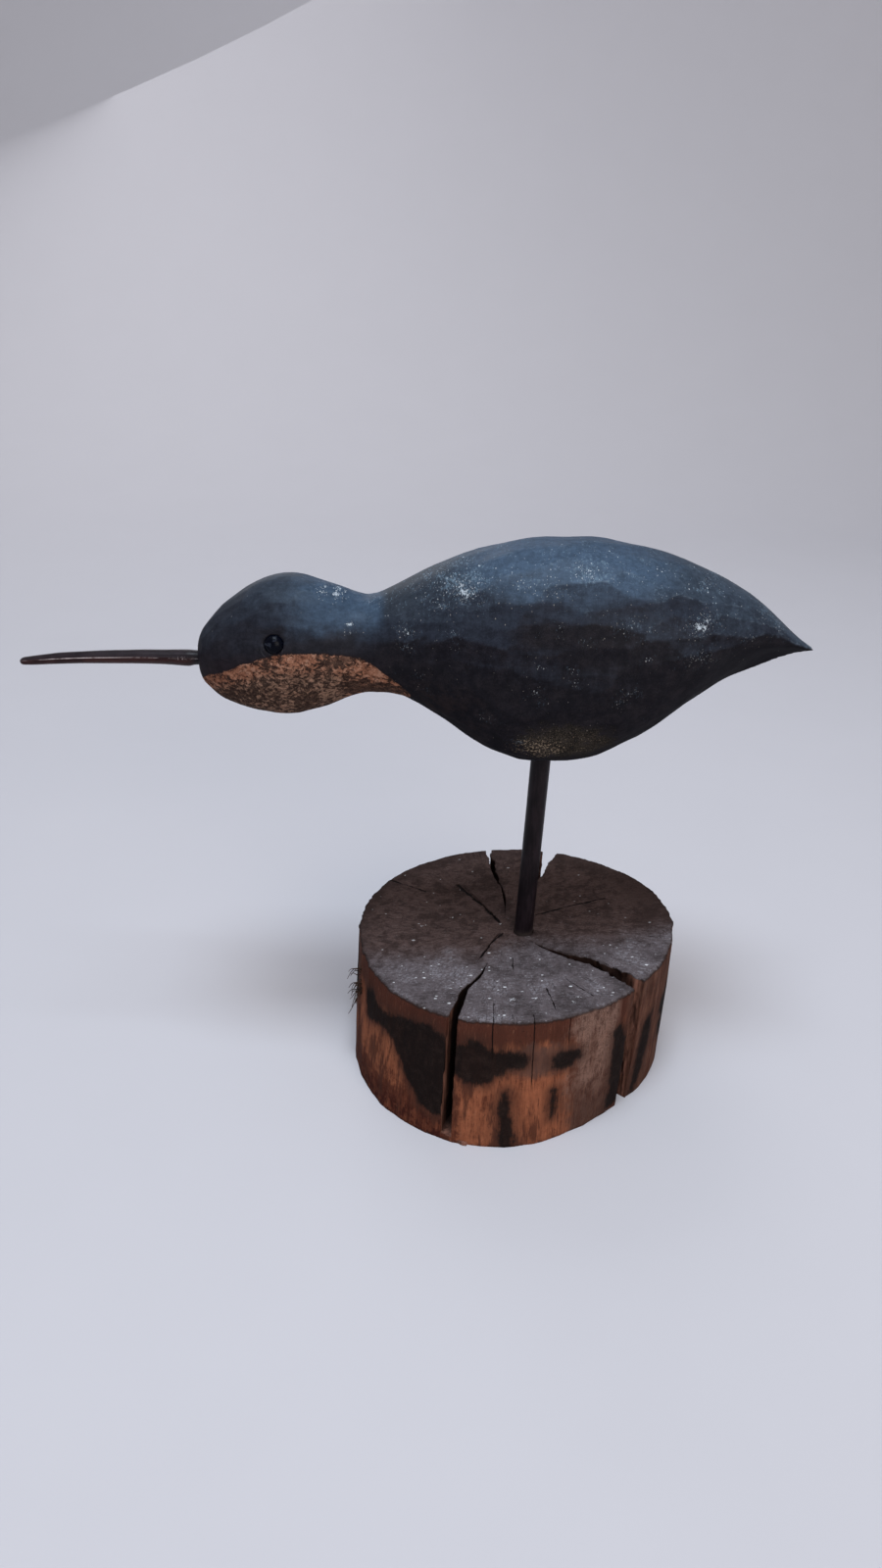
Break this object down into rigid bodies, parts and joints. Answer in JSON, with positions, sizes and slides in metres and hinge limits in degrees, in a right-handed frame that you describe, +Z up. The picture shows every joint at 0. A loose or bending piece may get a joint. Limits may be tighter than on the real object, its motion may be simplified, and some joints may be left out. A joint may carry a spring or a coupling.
{
  "type": "shorebird decoy on stand",
  "caption": "Carved wooden shorebird with a long bill and set eyes, held by a round rod over a cracked slice of log.",
  "frame": {"origin": "on the ground, under the middle of the log slice's underside", "axes": "+Z up; the bird looks along -X, its tail points along +X, and its left side faces -Y"},
  "size_m": [0.3065, 0.1401, 0.2342],
  "materials": {
    "log": "weathered sawn top, barkless red-brown side",
    "rod": "matte brown-black paint",
    "painted_wood": "worn blue-black paint with knife cuts and chips",
    "bill": "glossy dark brown paint",
    "eye": "polished black"
  },
  "bodies": {
    "root": {"log_base": "log", "leg_rod": "rod", "bird_body": "painted_wood", "bill": "bill", "eye_left": "eye", "eye_right": "eye"}
  },
  "joints": []
}
